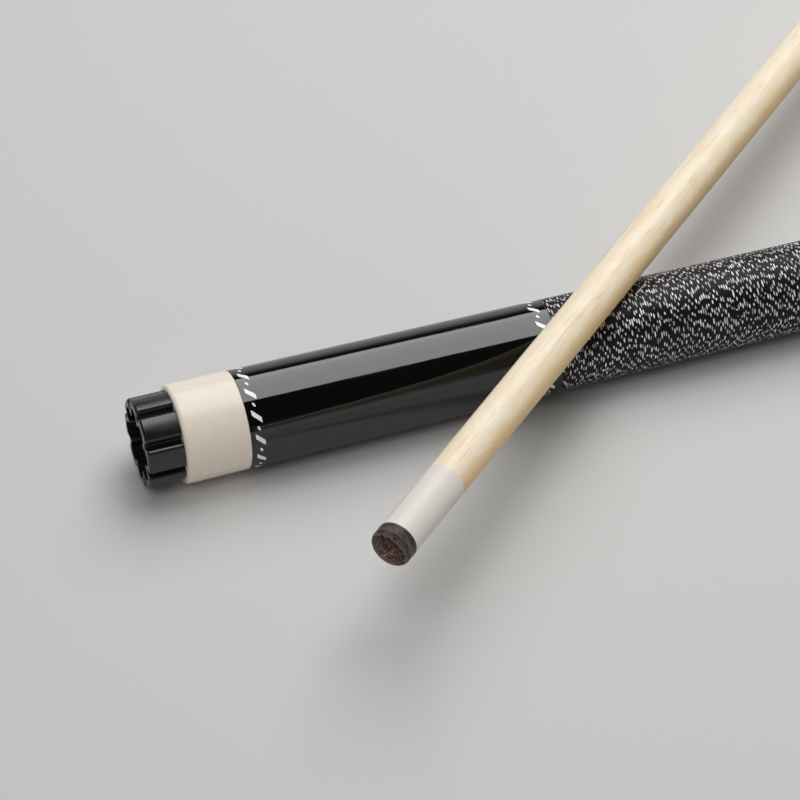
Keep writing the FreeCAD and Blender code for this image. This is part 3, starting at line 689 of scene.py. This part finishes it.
def studio_floor():
    """A wide pale floor that keeps the shadows near the cue and turns even further out."""
    size = 80.0
    mesh = bpy.data.meshes.new("floor")
    corners = [(-size, -size, 0), (size, -size, 0), (size, size, 0), (-size, size, 0)]
    mesh.from_pydata(corners, [], [(0, 1, 2, 3)])
    floor = bpy.data.objects.new("floor", mesh)
    bpy.context.scene.collection.objects.link(floor)
    made = Finish("floor", Roughness=0.9, Specular_IOR_Level=0.1, Base_Color=(*HORIZON, 1))
    place = made.node("ShaderNodeTexCoord").outputs["Object"]
    away = made.node("ShaderNodeVectorMath", [(0, place)], operation="LENGTH").outputs["Value"]
    far = made.fit(away, 0.5, 1.2)
    path = made.node("ShaderNodeLightPath").outputs
    seen = made.math("MAXIMUM", path["Is Camera Ray"], path["Is Glossy Ray"])
    seen = made.math("MAXIMUM", seen, path["Is Transmission Ray"])
    glow = made.node("ShaderNodeEmission", [("Color", (*HORIZON, 1)), ("Strength", 1.0)])
    inputs = [(0, made.math("MULTIPLY", far, seen)), (1, made.shader.outputs[0])]
    mixed = made.node("ShaderNodeMixShader", inputs + [(2, glow.outputs[0])])
    made.links.new(mixed.outputs[0], made.nodes["Material Output"].inputs["Surface"])
    mesh.materials.append(made.material)


def studio_world():
    """Pale at the horizon and dimmer overhead, the same for every kind of ray."""
    world = bpy.data.worlds.new("studio")
    world.use_nodes = True
    bpy.context.scene.world = world
    nodes, links = world.node_tree.nodes, world.node_tree.links
    place = nodes.new("ShaderNodeTexCoord").outputs["Generated"]
    height = nodes.new("ShaderNodeSeparateXYZ")
    links.new(place, height.inputs[0])
    fade = nodes.new("ShaderNodeMapRange")
    fade.interpolation_type = "SMOOTHSTEP"
    for socket, number in ((1, 0.12), (2, 0.42), (3, 0.0), (4, 1.0)):
        fade.inputs[socket].default_value = number
    links.new(height.outputs[2], fade.inputs[0])
    mixed = nodes.new("ShaderNodeMix")
    mixed.data_type = "RGBA"
    mixed.inputs[6].default_value = (*HORIZON, 1)
    mixed.inputs[7].default_value = (*ZENITH, 1)
    links.new(fade.outputs[0], mixed.inputs[0])
    links.new(mixed.outputs[2], nodes["Background"].inputs["Color"])
    nodes["Background"].inputs["Strength"].default_value = 1.0


def softbox(name, place, aim, size, radiance):
    """A rectangular lamp that gives the same light from every part of its face."""
    lamp = bpy.data.lights.new(name, "AREA")
    lamp.shape = "RECTANGLE"
    lamp.size, lamp.size_y = size
    lamp.energy = radiance * math.pi * size[0] * size[1]
    box = bpy.data.objects.new(name, lamp)
    bpy.context.scene.collection.objects.link(box)
    way = np.array(aim) - np.array(place)
    box.location = place
    box.rotation_mode = "QUATERNION"
    box.rotation_quaternion = Vector(way).to_track_quat("-Z", "Y")
    box.visible_camera = False
    return box


studio_floor()
studio_world()
softbox("overhead", (0.12, 0.30, 1.11), (-0.03, -0.15, 0.0), (0.95, 1.5), 3.6)
fill = softbox("fill", (-0.75, -0.75, 1.35), (-0.2, -0.15, 0.0), (0.7, 0.7), 3.8)
fill.visible_glossy = False

camera = bpy.data.objects.new("camera", bpy.data.cameras.new("camera"))
camera.data.sensor_width = 36.0
camera.data.lens = 159.9
camera.location = (-0.57121, -0.90511, 0.80078)
camera.rotation_euler = [math.radians(turn) for turn in (45.242, -0.2704, -19.3826)]
camera.data.clip_start, camera.data.clip_end = 0.05, 200.0
bpy.context.scene.collection.objects.link(camera)
bpy.context.scene.camera = camera
bpy.context.scene.view_settings.view_transform = "Standard"
